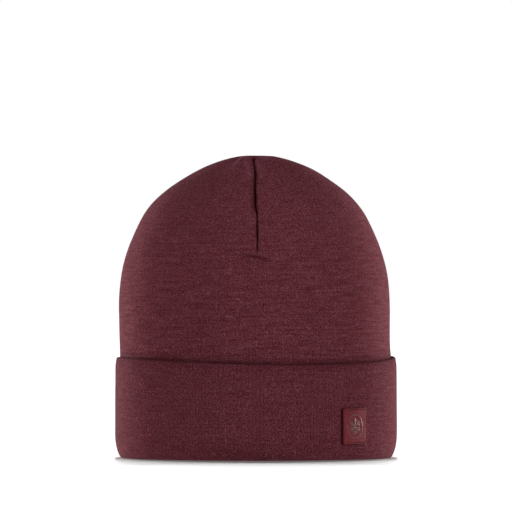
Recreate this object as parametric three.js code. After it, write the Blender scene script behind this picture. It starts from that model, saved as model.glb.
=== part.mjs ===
// Cuffed knit beanie for an adult head: a soft dome of doubled jersey drawn in by four sewn
// darts, its lower end turned up into a wide cuff, and a small square patch on the cuff.
//
// Millimetres, +Z up. The hat stands on its rim at z = 0, with its front towards -Y and the
// wearer's left ear, where the patch is, towards +X. A "turn" is the angle round the hat from
// the middle of the front, positive towards +X.

import * as THREE from 'three';

// ---- driving dimensions ------------------------------------------------------------------

const CLOTH = 2.4;               // two plies of jersey, one on the other
const PIECE_GAP = 0.3;           // clearance where one piece of the model meets the next

const CUFF_HALF_WIDTH = 87;      // outside of the cuff, ear to ear
const CUFF_HALF_DEPTH = 104;     // outside of the cuff, forehead to nape
const CUFF_HEIGHT = 61;          // rim to the turned-up edge
const CUFF_DIP = 0.6;            // how far that edge sinks at front and back, and rises at the sides
const CUFF_SLANT = 1.0;          // and how far it sinks between the front and the patch's side
const TURN_UP_AIR = 1.0;         // air between the crown and the cuff that lies over it

const FOOT_FROM = 3.3;           // the flat part of the rim, as insets from the cuff's face
const FOOT_TO = 5.9;
const FOLD_HEIGHT = 8;           // the turned end inside the rim, where the crown's wall begins
const ROUNDING_HEIGHT = 14;      // the cuff's face draws in towards the foot below this

const CROWN_HEIGHT = 187.6;      // rim to the top of the dome
const DOME_SPRING = 80;          // the wall is upright below this height
const DOME_SHOULDER = 2.8;       // powers of the dome's outline
const DOME_TOP = 1.7;
const SWELL = 1.0;               // the shoulder stands out by this much more,
const SWELL_HEIGHT = 156;        // round this height
const SWELL_SPREAD = 18;
const CROWN_LEAN = -1.2;         // sideways slump of the dome between the cuff and its top
const LEAN_FROM = [52, 80];      // heights over which the slump sets in
const LEAN_TO = [155, 178];      // and over which it is gone again

const GROOVE_DEPTH = 2.0;        // how deep the cloth is drawn in along a dart's seam
const GROOVE_REACH = 1.0;        // and how fast the hollow fades to each side
const VALLEY_DEPTH = 0.7;        // the wide soft hollow that the seam pulls round itself
const VALLEY_REACH = 6.5;
const DART_FADE = 6;             // height over which a dart runs out at its lower end

const PATCH_SIDE = 22;
const PATCH_THICKNESS = 1.2;
const PATCH_CORNER = 1.4;
const PATCH_HEIGHT = 21.4;       // middle of the patch above the rim
const PATCH_TURN = THREE.MathUtils.degToRad(44.2);
const BADGE_RADIUS = 7.4;        // the raised ring in the middle of the patch
const BADGE_WIDTH = 0.7;
const BADGE_RELIEF = 0.3;

// The four darts: where each one lies, how low it reaches, and how far its line has wandered
// sideways at the top of the dome and at its lower end.
const DARTS = [
  { turn: 0, lowEnd: 126, driftTop: -1.4, driftEnd: 1.0 },
  { turn: Math.PI / 2, lowEnd: 133, driftTop: 0.6, driftEnd: -1.2 },
  { turn: Math.PI, lowEnd: 127, driftTop: 1.0, driftEnd: 0.4 },
  { turn: (3 * Math.PI) / 2, lowEnd: 131, driftTop: -0.5, driftEnd: 0.9 },
];

// ---- how finely the surfaces are divided -------------------------------------------------

const DOME_ROWS = 26;                     // rows outside; every other one has a row inside
const WALL_HEIGHTS = [68, 56, 34];        // rows of the crown's upright wall, going down
const SEAM_OFFSETS = [1.1, 2.8, 6.5];     // columns at these distances beside each dart
const SEAM_SHARES = [0.14, 0.3, 0.55];    // but never past this share of the way to the next
const OPEN_COLUMNS = 4;                   // columns from there to half-way to the next dart
const CUFF_COLUMNS = 80;
const PATCH_COLUMNS = 32;

// ---- colours -----------------------------------------------------------------------------

const JERSEY = new THREE.MeshStandardMaterial({ color: 0x54272f, roughness: 0.95 });
const CUFF_JERSEY = new THREE.MeshStandardMaterial({ color: 0x4f252c, roughness: 0.95 });
const PATCH_HIDE = new THREE.MeshStandardMaterial({ color: 0x653237, roughness: 0.6 });

// ---- helpers -----------------------------------------------------------------------------

/** Joins rings of points, each with as many points as the next, into one closed skin. Rings
 *  run anticlockwise seen from outside as the skin goes down or outwards. It either closes on
 *  itself or has a pole at each end. */
function skin(rings, poles = null) {
  const columns = rings[0].length;
  const points = rings.flat();
  const index = [];
  const at = (ring, column) => (ring % rings.length) * columns + (column % columns);
  const strips = poles ? rings.length - 1 : rings.length;
  for (let ring = 0; ring < strips; ring += 1) {
    for (let column = 0; column < columns; column += 1) {
      const a = at(ring, column);
      const b = at(ring + 1, column);
      const c = at(ring + 1, column + 1);
      const d = at(ring, column + 1);
      index.push(a, b, c, a, c, d);
    }
  }
  if (poles) {
    const last = rings.length - 1;
    points.push(poles.start, poles.end);
    for (let column = 0; column < columns; column += 1) {
      index.push(points.length - 2, at(0, column), at(0, column + 1));
      index.push(at(last, column), points.length - 1, at(last, column + 1));
    }
  }
  const geometry = new THREE.BufferGeometry().setFromPoints(points);
  geometry.setIndex(index);
  geometry.computeVertexNormals();
  return geometry;
}

/** A point on the upright oval that lies this far inside the cuff's outer face. */
function ovalPoint(turn, inset, height) {
  return new THREE.Vector3(
    (CUFF_HALF_WIDTH - inset) * Math.sin(turn),
    -(CUFF_HALF_DEPTH - inset) * Math.cos(turn),
    height,
  );
}

// ---- crown -------------------------------------------------------------------------------

const CROWN_INSET = CLOTH + TURN_UP_AIR;
const CROWN_HALF_WIDTH = CUFF_HALF_WIDTH - CROWN_INSET;
const CROWN_PLAN = (CUFF_HALF_DEPTH - CROWN_INSET) / CROWN_HALF_WIDTH;
const CROWN_BOTTOM = FOLD_HEIGHT + PIECE_GAP;

/** Half-width of the crown at a height, and how fast it changes with height. */
function domeOutline(height) {
  const rise = Math.max(0, (height - DOME_SPRING) / (CROWN_HEIGHT - DOME_SPRING));
  const left = 1 - rise ** DOME_SHOULDER;
  const plain = CROWN_HALF_WIDTH * left ** (1 / DOME_TOP);
  const plainSlope = (-plain * DOME_SHOULDER * rise ** (DOME_SHOULDER - 1))
    / (DOME_TOP * left * (CROWN_HEIGHT - DOME_SPRING));
  const above = (height - SWELL_HEIGHT) / SWELL_SPREAD;
  const swell = SWELL * Math.exp(-(above ** 2));
  const swellSlope = (-2 * above * swell) / SWELL_SPREAD;
  return { halfWidth: plain + swell, slope: plainSlope + swellSlope };
}

/** How deep the cloth is drawn in at a place on the dome, by whichever dart is nearest. */
function drawnIn(turn, height, halfWidth) {
  let depth = 0;
  for (const dart of DARTS) {
    const along = THREE.MathUtils.clamp(
      (height - dart.lowEnd) / (CROWN_HEIGHT - dart.lowEnd), 0, 1);
    const perTurn = halfWidth * (Math.sin(dart.turn) ** 2 > 0.5 ? CROWN_PLAN : 1);
    const aside = Math.atan2(Math.sin(turn - dart.turn), Math.cos(turn - dart.turn));
    const offset = Math.abs(aside) * perTurn;
    const strength = THREE.MathUtils.smoothstep(height, dart.lowEnd, dart.lowEnd + DART_FADE);
    const groove = GROOVE_DEPTH * Math.exp(-offset / GROOVE_REACH);
    const valley = VALLEY_DEPTH * Math.exp(-((offset / VALLEY_REACH) ** 2)) * (1 - along);
    depth = Math.max(depth, strength * (groove + valley));
  }
  return depth;
}

/** Sideways drift of a dart's line, shared by the columns near it. */
function drift(dart, height) {
  const along = THREE.MathUtils.clamp(
    (height - dart.lowEnd) / (CROWN_HEIGHT - dart.lowEnd), 0, 1);
  return THREE.MathUtils.lerp(dart.driftEnd, dart.driftTop, along) * (1 - along ** 8);
}

/** The columns round one ring, close together beside each dart: the turn that each has, and
 *  how much of its dart's drift it takes. */
function crownColumns(halfWidth) {
  const columns = [];
  const halfWay = Math.PI / 4;
  for (const dart of DARTS) {
    const perTurn = halfWidth * (Math.sin(dart.turn) ** 2 > 0.5 ? CROWN_PLAN : 1);
    const near = SEAM_OFFSETS.map((offset, i) => (
      Math.min(offset / perTurn, SEAM_SHARES[i] * halfWay)));
    const open = Array.from({ length: OPEN_COLUMNS }, (_, i) => (
      THREE.MathUtils.lerp(near.at(-1), halfWay, (i + 1) / OPEN_COLUMNS)));
    const right = [...near, ...open];
    const left = right.slice(0, -1).reverse().map((aside) => -aside);
    for (const aside of [...left, 0, ...right]) {
      columns.push({ dart, perTurn, aside, share: 1 - Math.abs(aside) / halfWay });
    }
  }
  return columns;
}

/** One ring of the crown, this far below its outer face. */
function crownRing(height, depth) {
  const { halfWidth, slope } = domeOutline(height);
  const slump = THREE.MathUtils.smoothstep(height, ...LEAN_FROM)
    * (1 - THREE.MathUtils.smoothstep(height, ...LEAN_TO));
  return crownColumns(halfWidth).map(({ dart, perTurn, aside, share }) => {
    const straight = dart.turn + aside;
    const turn = straight + (share * drift(dart, height)) / perTurn;
    const normal = new THREE.Vector3(
      Math.sin(turn), -Math.cos(turn) / CROWN_PLAN, -slope).normalize();
    const inwards = depth + drawnIn(straight, height, halfWidth);
    return new THREE.Vector3(
      halfWidth * Math.sin(turn) + CROWN_LEAN * slump,
      -halfWidth * CROWN_PLAN * Math.cos(turn),
      height,
    ).addScaledVector(normal, -inwards);
  });
}

function crownGeometry() {
  const domeHeights = [];
  for (let row = DOME_ROWS - 1; row >= 0; row -= 1) {
    const climb = ((row + 0.25) / DOME_ROWS) * (Math.PI / 2);
    const rise = Math.sin(climb) ** (2 / DOME_SHOULDER);
    domeHeights.push(DOME_SPRING + (CROWN_HEIGHT - DOME_SPRING) * rise);
  }
  const outside = [...domeHeights, ...WALL_HEIGHTS, CROWN_BOTTOM];
  const insideDome = domeHeights.filter((_, row) => row % 2 === 0);
  const inside = [CROWN_BOTTOM, ...WALL_HEIGHTS.toReversed(), ...insideDome.toReversed()];
  const rings = [
    ...outside.map((height) => crownRing(height, 0)),
    ...inside.map((height) => crownRing(height, CLOTH)),
  ];
  const apex = CROWN_HEIGHT - GROOVE_DEPTH;
  return skin(rings, {
    start: new THREE.Vector3(0, 0, apex),
    end: new THREE.Vector3(0, 0, apex - CLOTH),
  });
}

// ---- cuff --------------------------------------------------------------------------------

/** The cuff's section as insets and heights: down its face, under the rim, up to the end
 *  that meets the crown, and back round to the rounded edge at the top. */
function cuffSection() {
  const edge = CLOTH / 2;
  const crease = TURN_UP_AIR / 2;
  const creaseHeight = 3.6;
  const section = new THREE.Path();
  section.moveTo(0, CUFF_HEIGHT - edge);
  section.lineTo(0, ROUNDING_HEIGHT);
  section.bezierCurveTo(0, 7, 1.3, 1.4, FOOT_FROM, 0);
  section.lineTo(FOOT_TO, 0);
  section.bezierCurveTo(FOOT_TO + 1, 0, 6.2, 4, CROWN_INSET + CLOTH, FOLD_HEIGHT);
  section.lineTo(CROWN_INSET, FOLD_HEIGHT);
  section.lineTo(CROWN_INSET, creaseHeight);
  section.absarc(CROWN_INSET - crease, creaseHeight, crease, 0, -Math.PI, true);
  section.lineTo(CLOTH, CUFF_HEIGHT - edge);
  section.absarc(edge, CUFF_HEIGHT - edge, edge, 0, Math.PI, false);
  return section.getPoints(5).slice(0, -1);
}

/** The turned-up edge isn't level: its height at a turn. */
function cuffHeight(turn) {
  return CUFF_HEIGHT - CUFF_DIP * Math.cos(2 * turn) - CUFF_SLANT * Math.sin(2 * turn);
}

function cuffGeometry() {
  const rings = cuffSection().map(({ x: inset, y: height }) => (
    Array.from({ length: CUFF_COLUMNS }, (_, column) => {
      const turn = (column / CUFF_COLUMNS) * 2 * Math.PI;
      const lift = THREE.MathUtils.smoothstep(height, ROUNDING_HEIGHT, CUFF_HEIGHT);
      return ovalPoint(turn, inset, height + (cuffHeight(turn) - CUFF_HEIGHT) * lift);
    })));
  return skin(rings);
}

// ---- patch -------------------------------------------------------------------------------

/** A place on the patch, across and up from its middle, this far out from the cuff's face. */
function patchPoint(across, up, out) {
  const perTurn = Math.hypot(
    (CUFF_HALF_WIDTH + out) * Math.cos(PATCH_TURN),
    (CUFF_HALF_DEPTH + out) * Math.sin(PATCH_TURN),
  );
  return ovalPoint(PATCH_TURN + across / perTurn, -out, PATCH_HEIGHT + up);
}

/** How far the edge of the rounded square is from its middle, in a direction. */
function patchReach(angle) {
  const side = PATCH_SIDE / 2;
  const flat = side / Math.max(Math.abs(Math.cos(angle)), Math.abs(Math.sin(angle)));
  const core = side - PATCH_CORNER;
  const x = Math.abs(flat * Math.cos(angle)) - core;
  const y = Math.abs(flat * Math.sin(angle)) - core;
  if (x <= 0 || y <= 0) return flat;
  const middle = core * (Math.abs(Math.cos(angle)) + Math.abs(Math.sin(angle)));
  return middle + Math.sqrt(middle ** 2 - 2 * core ** 2 + PATCH_CORNER ** 2);
}

function patchGeometry() {
  const back = PIECE_GAP;
  const face = back + PATCH_THICKNESS;
  const ringOuter = BADGE_RADIUS;
  const ringInner = BADGE_RADIUS - BADGE_WIDTH;
  const bevel = 0.3;
  const round = (radius, out) => ({ reach: () => radius, out });
  const square = (shrink, out) => ({ reach: (angle) => patchReach(angle) - shrink, out });
  const rows = [
    round(ringInner - bevel, face),
    round(ringInner, face + BADGE_RELIEF),
    round(ringOuter, face + BADGE_RELIEF),
    round(ringOuter + bevel, face),
    square(bevel, face),
    square(0, face - bevel),
    square(0, back),
  ];
  const rings = rows.map(({ reach, out }) => (
    Array.from({ length: PATCH_COLUMNS }, (_, column) => {
      const angle = (column / PATCH_COLUMNS) * 2 * Math.PI + Math.PI / 4;
      const radius = reach(angle);
      return patchPoint(radius * Math.cos(angle), radius * Math.sin(angle), out);
    })));
  return skin(rings, { start: patchPoint(0, 0, face), end: patchPoint(0, 0, back) });
}

// ---- the hat -----------------------------------------------------------------------------

const hat = new THREE.Group();
const pieces = [
  ['crown', crownGeometry(), JERSEY],
  ['cuff', cuffGeometry(), CUFF_JERSEY],
  ['label', patchGeometry(), PATCH_HIDE],
];
for (const [name, geometry, material] of pieces) {
  const mesh = new THREE.Mesh(geometry, material);
  mesh.name = name;
  hat.add(mesh);
}

export default hat;
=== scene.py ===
# %% [markdown]
# # A cuffed merino beanie
#
# This lesson dresses a plain, measured hat in cloth. The measured hat is the frame: three
# closed solids called crown, cuff and label, which stay where they are and hold the sizes.
# Everything made below is built over them, in metres, with +Z up and the front of the hat
# looking along -Y.
#
# The real hat is one tube of fine doubled merino jersey. Four darts draw its top end in to a
# dome, and its lower end is turned up as a cuff, with a small square patch sewn on it.

# %% Load the frame
import math

import bmesh
import bpy
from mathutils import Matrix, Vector, noise


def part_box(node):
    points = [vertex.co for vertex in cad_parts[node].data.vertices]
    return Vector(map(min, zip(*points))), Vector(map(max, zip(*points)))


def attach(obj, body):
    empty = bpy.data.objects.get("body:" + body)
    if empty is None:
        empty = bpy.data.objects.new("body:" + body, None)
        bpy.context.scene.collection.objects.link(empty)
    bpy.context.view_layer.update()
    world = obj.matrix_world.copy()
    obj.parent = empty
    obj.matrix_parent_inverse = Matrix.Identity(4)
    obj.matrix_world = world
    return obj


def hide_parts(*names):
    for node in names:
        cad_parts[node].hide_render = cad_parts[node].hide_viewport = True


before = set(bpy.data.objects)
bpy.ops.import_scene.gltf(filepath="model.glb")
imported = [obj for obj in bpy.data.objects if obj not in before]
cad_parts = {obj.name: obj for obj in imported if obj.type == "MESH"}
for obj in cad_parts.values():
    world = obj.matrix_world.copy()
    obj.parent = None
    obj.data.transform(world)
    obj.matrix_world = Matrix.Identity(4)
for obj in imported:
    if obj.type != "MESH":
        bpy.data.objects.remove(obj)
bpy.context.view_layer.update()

print("frame nodes:", sorted(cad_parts))

# %% [markdown]
# ## Sizes
#
# Most sizes are read from the frame's own boxes, so the cloth cannot drift away from the
# solids. The few that a box cannot tell, such as how thick the jersey is, are named here.

# %% Sizes read from the frame
MM = 0.001

cuff_lo, cuff_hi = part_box("cuff")
crown_lo, crown_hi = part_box("crown")
label_lo, label_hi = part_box("label")

CUFF_A = (cuff_hi.x - cuff_lo.x) / 2      # half-width of the cuff's face
CUFF_B = (cuff_hi.y - cuff_lo.y) / 2      # half-depth of it
CLOTH = 2.4 * MM                          # two plies of jersey
TURN_UP_AIR = 1.0 * MM                    # air between the crown and the cuff over it
CROWN_INSET = CLOTH + TURN_UP_AIR
CROWN_A = CUFF_A - CROWN_INSET
CROWN_B = CUFF_B - CROWN_INSET
CROWN_TOP = crown_hi.z - 0.9 * MM
CROWN_BOTTOM = crown_lo.z
print(f"cuff {2000 * CUFF_A:.0f} x {2000 * CUFF_B:.0f} mm, hat {1000 * CROWN_TOP:.0f} mm high")

# %% Sizes of the dome and the cuff
DOME_SPRING = 80 * MM       # the wall is upright below this height
DOME_SHOULDER = 2.8         # powers of the dome's outline
DOME_TOP = 1.7
SWELLS = [                  # the dome stands out by some more, round a height: amount, height
    (1.9 * MM, 160 * MM, 17 * MM),      # and spread
    (3.9 * MM, 186 * MM, 9 * MM),
]
SWELL_FADE = 0.07           # but not at its very top
CROWN_LEAN = -1.0 * MM      # sideways slump between the cuff and the top
TOP_LEAN = 0.4 * MM         # and back again at the top
LEAN_FROM = (52 * MM, 80 * MM)
LEAN_TO = (154 * MM, 182 * MM)
CUFF_HEIGHT = 61 * MM
CUFF_DIP = 1.2 * MM         # the turned-up edge sinks at the front and back
CUFF_SLANT = 1.0 * MM       # and between the front and the patch's side
print(f"dome from {1000 * DOME_SPRING:.0f} mm up, cuff {1000 * CUFF_HEIGHT:.0f} mm high")

# %% [markdown]
# ## The camera, the floor and the light
#
# A catalogue picture of a hat is taken from far away with a long lens, almost level with the
# hat, so upright edges stay upright. It stands on a light table, which is a white board that
# glows a little from below. Two soft boxes in front light the cloth, a weak one over it
# lights the top, and two behind it, one on each side, draw a bright rim along its left and
# right edges. The board has lamps of its own: a row of them runs from straight above the hat
# to well behind it, so that the board is white everywhere except for the soft shadow that
# the hat throws forward, and two low lamps at the sides lighten the board close beside the
# hat. Light linking keeps the two sets of lamps apart: the soft boxes don't see the board,
# and the board's lamps see nothing else.

# %% Camera
CAMERA_DISTANCE = 6.0
CAMERA_HEIGHT = 0.178
VIEW_WIDTH = 0.3161         # how much of the room the picture is wide, at the hat
AIM_HEIGHT = 0.1245

camera_data = bpy.data.cameras.new("camera")
camera = bpy.data.objects.new("camera", camera_data)
bpy.context.scene.collection.objects.link(camera)
camera.location = (0, -CAMERA_DISTANCE, CAMERA_HEIGHT)
look = Vector((0, 0, AIM_HEIGHT)) - camera.location
camera.rotation_euler = look.to_track_quat("-Z", "Y").to_euler()
camera_data.sensor_width = 36
camera_data.lens = camera_data.sensor_width * CAMERA_DISTANCE / VIEW_WIDTH
camera_data.clip_end = 50
bpy.context.scene.camera = camera
print(f"lens {camera_data.lens:.0f} mm at {CAMERA_DISTANCE} m")


# %% [markdown]
# ## Three small helpers for materials
#
# Colours are written as the hex values that a paint program shows. Blender wants linear
# light, so one function turns them. The second adds a node, sets it up and links it. The
# third starts a material, with the two values that say how matt or glossy it is.

# %% Colour and node helpers
def linear(hex_colour):
    """An sRGB hex colour as linear red, green, blue and alpha."""
    channels = [int(hex_colour[i:i + 2], 16) / 255 for i in (1, 3, 5)]
    return [c / 12.92 if c <= 0.04045 else ((c + 0.055) / 1.055) ** 2.4 for c in channels] + [1]


def add(tree, kind, inputs=None, **settings):
    """Adds a node, with its settings and its inputs, each a value or another node's output."""
    node = tree.nodes.new(kind)
    for name, value in settings.items():
        setattr(node, name, value)
    for name, value in (inputs or {}).items():
        if isinstance(value, bpy.types.NodeSocket):
            tree.links.new(value, node.inputs[name])
        else:
            node.inputs[name].default_value = value
    return node


def new_material(name, roughness, gloss=0.5):
    """A new material, its node tree and its shader."""
    material = bpy.data.materials.new(name)
    material.use_nodes = True
    shader = material.node_tree.nodes["Principled BSDF"]
    shader.inputs["Roughness"].default_value = roughness
    shader.inputs["Specular IOR Level"].default_value = gloss
    return material, material.node_tree, shader


print("wine red in linear light:", [round(c, 3) for c in linear("#512329")[:3]])

# %% Room
# Only a low band along the horizon is white, as a lit wall is. The ceiling stays dark, so the
# top of the hat gets no pale rim.
WALL_TOP = 0.06             # how high the white band reaches, as a slope

world = bpy.context.scene.world or bpy.data.worlds.new("room")
bpy.context.scene.world = world
world.use_nodes = True
room = world.node_tree
direction = add(room, "ShaderNodeTexCoord").outputs["Generated"]
slope = add(room, "ShaderNodeSeparateXYZ", {"Vector": direction}).outputs["Z"]
wall = add(room, "ShaderNodeMath", {0: slope, 1: WALL_TOP}, operation="LESS_THAN")
room.nodes["Background"].inputs["Color"].default_value = (1, 1, 1, 1)
room.links.new(wall.outputs["Value"], room.nodes["Background"].inputs["Strength"])
bpy.context.scene.view_settings.view_transform = "Standard"
print(f"white wall up to a slope of {WALL_TOP}")

# %% Floor
FLOOR_SIZE = 12             # metres
FLOOR_GLOW = 0.13           # what the board gives off by itself
bpy.ops.object.select_all(action="DESELECT")
bpy.ops.mesh.primitive_plane_add(size=FLOOR_SIZE, location=(0, 0, 0))
floor = bpy.context.active_object
floor.name = "floor"
floor_paint, _, paint = new_material("matt_white_board", roughness=0.9, gloss=0.0)
paint.inputs["Base Color"].default_value = linear("#f4f4f4")
paint.inputs["Emission Color"].default_value = (1, 1, 1, 1)
paint.inputs["Emission Strength"].default_value = FLOOR_GLOW
floor.data.materials.append(floor_paint)
print(f"board {FLOOR_SIZE} m square")


# %% Who is lit by what
def lit_by(name, state):
    """A light-linking collection in which the floor is included or excluded."""
    group = bpy.data.collections.new(name)
    group.objects.link(floor)
    group.collection_objects[0].light_linking.link_state = state
    return group


only_floor = lit_by("only_floor", "INCLUDE")
all_but_floor = lit_by("all_but_floor", "EXCLUDE")
print("light groups:", only_floor.name, "and", all_but_floor.name)


# %% Soft boxes
HAT_MIDDLE = Vector((0, 0, 0.09))


def soft_box(name, turn, distance, height, size, power):
    """An area light that looks at the hat, placed by its turn from the front in degrees."""
    data = bpy.data.lights.new(name, "AREA")
    data.shape = "RECTANGLE"
    data.size, data.size_y = size
    data.energy = power
    lamp = bpy.data.objects.new(name, data)
    angle = math.radians(turn)
    lamp.location = (distance * math.sin(angle), -distance * math.cos(angle), height)
    lamp.rotation_euler = (HAT_MIDDLE - lamp.location).to_track_quat("-Z", "Y").to_euler()
    lamp.light_linking.receiver_collection = all_but_floor
    bpy.context.scene.collection.objects.link(lamp)


soft_box("front_left_box", -60, 2.2, 1.35, (0.9, 1.2), 24)
soft_box("front_right_box", 60, 2.2, 1.35, (0.9, 1.2), 32.6)
soft_box("back_left_box", -141, 1.55, 0.12, (0.6, 0.2), 60)
soft_box("back_right_box", 141, 1.55, 0.12, (0.6, 0.2), 58)
soft_box("top_box", 0, 0.6, 2.0, (0.9, 0.9), 13)
print("soft boxes:", len(bpy.data.lights))

# %% Lamp in the light table
# It shines up through the floor, which doesn't block it, under the hat and its shadow.
data = bpy.data.lights.new("table_lamp", "AREA")
data.shape = "ELLIPSE"
data.size, data.size_y = 0.20, 0.30
data.energy = 0.09
table_lamp = bpy.data.objects.new("table_lamp", data)
table_lamp.location = (0, -0.035, -0.004)
table_lamp.rotation_euler = (math.pi, 0, 0)
table_lamp.light_linking.receiver_collection = all_but_floor
table_lamp.light_linking.blocker_collection = all_but_floor
bpy.context.scene.collection.objects.link(table_lamp)
print("table lamp:", 1000 * data.size, "x", 1000 * data.size_y, "mm")

# %% Floor lamps
LAMPS = 14
LAMP_SLOPES = (34, 90)      # how high the furthest and the nearest lamp stand, in degrees
LAMP_SPREAD = 2.5
ROW_LIGHT = 2.9             # of the whole row
SIDE_LIGHT = 0.5            # of each of the two side lamps
SIDE_SLOPE = 20
SIDE_TURN = 60              # from straight behind the hat
SIDE_SPREAD = 12


def floor_lamp(name, slope, turn, light, spread):
    """A far lamp that gives the board the same light at any slope. Angles in degrees."""
    rise = math.radians(slope)
    lamp_data = bpy.data.lights.new(name, "SUN")
    lamp_data.energy = light / math.sin(rise)
    lamp_data.angle = math.radians(spread)
    lamp = bpy.data.objects.new(name, lamp_data)
    lamp.rotation_euler = (rise - math.pi / 2, 0, math.radians(turn))
    lamp.light_linking.receiver_collection = only_floor
    bpy.context.scene.collection.objects.link(lamp)


for k in range(LAMPS):
    slope = LAMP_SLOPES[0] + (LAMP_SLOPES[1] - LAMP_SLOPES[0]) * k / (LAMPS - 1)
    floor_lamp(f"floor_lamp_{k}", slope, 0, ROW_LIGHT / LAMPS, LAMP_SPREAD)
for turn in (-SIDE_TURN, SIDE_TURN):
    floor_lamp(f"side_lamp_{turn}", SIDE_SLOPE, turn, SIDE_LIGHT, SIDE_SPREAD)


# %% [markdown]
# ## Jersey
#
# The cloth is heathered merino jersey: single knit of a fine yarn, spun from fibres that were
# dyed before spinning in a wine red, a darker red and a greyish mauve. From a little way off
# it is matt and mottled in flecks under a millimetre wide, with slow drifts of a redder and a
# greyer cast. Loose fibre ends stand up from the face, so the cloth has a faint sheen where
# it turns away.
#
# The flecks are noise in the object's own space, because it has no seams there. The stitches
# follow the cloth, so they read its UV map, which is laid out in real millimetres, 100 of
# them to a unit: upright columns of V-shaped loops, called wales, crossed by rows, called
# courses. The yarn isn't even, so long stretches of a row are a little darker or paler than
# the rest. These streaks read the UV map too, and they fade towards the top, where the darts
# draw the rows together and the flecks show more strongly instead.
#
# A few loose fibre ends curl on the face as short pale lines. They lie where a slow noise
# passes its middle value, and a second noise keeps them to scattered spots.
#
# Where the cloth is folded in, shade is painted into its colour, and on a crest a paler,
# greyer highlight is painted. No noise knows where that is. So the steps that shape the cloth
# write it on the points of the mesh, as an attribute of painted shading: above 0 for painted
# shade in a fold, below 0 for a painted highlight on a crest.

# %% Knit sizes
WALE = 1.85             # width of a column of stitches, in millimetres
COURSE = 1.3            # height of a row of stitches
STITCH_RISE = 0.55      # how steep the legs of each V are, in rows for half a column
FLECK = 0.50            # width of a fleck
STREAK_LENGTH = 24      # a stretch of darker or paler yarn along a row
STREAK_HEIGHT = 1.4
STREAK_TOP = (120, 165) # length of cloth from the edge over which the streaks fade
FLECK_TOP = 1.35        # and over which the flecks grow stronger, up to this
FIBRE_CURL = 3.2        # how widely a loose fibre end curls on the face
FIBRE_WIDTH = 0.28      # drawn far thicker than the real 0.02, which would not show
FIBRE_SPOT = 1.9        # size of the spots in which the fibre ends show
FIBRE_TONE = 0.09       # how much paler they are
DRIFT = 4.5             # size of the slow drifts of a redder and a greyer cast
RELIEF = 0.25           # depth of the relief of stitches and flecks
RELIEF_SHARE = 0.35     # how much of that relief the light shows
HIGHLIGHT_TINT = (0.83, 1.38, 1.56)     # painted highlight on a crest: how much paler it is, in red, green and blue
MAP_UNIT = 100          # millimetres to one unit of the cloth map
print(f"{WALE} mm wales, {COURSE} mm courses")


# %% Stitch pattern
def stitch_height(tree):
    """The height of the knit face, 0 in the gaps and 1 on the legs of the stitches."""
    cloth_map = add(tree, "ShaderNodeUVMap", uv_map="cloth").outputs["UV"]
    split = add(tree, "ShaderNodeSeparateXYZ", {"Vector": cloth_map}).outputs
    column = add(tree, "ShaderNodeMath", {0: split["X"], 1: MAP_UNIT / WALE},
                 operation="MULTIPLY")
    row = add(tree, "ShaderNodeMath", {0: split["Y"], 1: MAP_UNIT / COURSE},
              operation="MULTIPLY")
    aside = add(tree, "ShaderNodeMath", {0: column.outputs[0], 1: 0.5}, operation="PINGPONG")
    climb = add(tree, "ShaderNodeMath", {
        0: aside.outputs[0], 1: 2 * STITCH_RISE, 2: row.outputs[0]}, operation="MULTIPLY_ADD")
    turn = add(tree, "ShaderNodeMath", {0: climb.outputs[0], 1: 2 * math.pi},
               operation="MULTIPLY")
    loop = add(tree, "ShaderNodeMath", {0: turn.outputs[0]}, operation="SINE")
    loop = add(tree, "ShaderNodeMath", {0: loop.outputs[0], 1: 0.25, 2: 0.75},
               operation="MULTIPLY_ADD")
    across = add(tree, "ShaderNodeMath", {0: aside.outputs[0], 1: 2 * math.pi},
                 operation="MULTIPLY")
    legs = add(tree, "ShaderNodeMath", {0: across.outputs[0]}, operation="SINE")
    halfway = add(tree, "ShaderNodeMath", {0: across.outputs[0], 1: 0.5}, operation="MULTIPLY")
    wale = add(tree, "ShaderNodeMath", {0: halfway.outputs[0]}, operation="SINE")
    wale = add(tree, "ShaderNodeMath", {0: wale.outputs[0], 1: 0.6}, operation="MULTIPLY")
    leg = add(tree, "ShaderNodeMath", {0: legs.outputs[0], 1: 0.4, 2: wale.outputs[0]},
              operation="MULTIPLY_ADD")
    return add(tree, "ShaderNodeMath", {0: loop.outputs[0], 1: leg.outputs[0]},
               operation="MULTIPLY").outputs[0]


print(f"{100 / (WALE * COURSE):.0f} stitches to a square centimetre")


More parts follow.
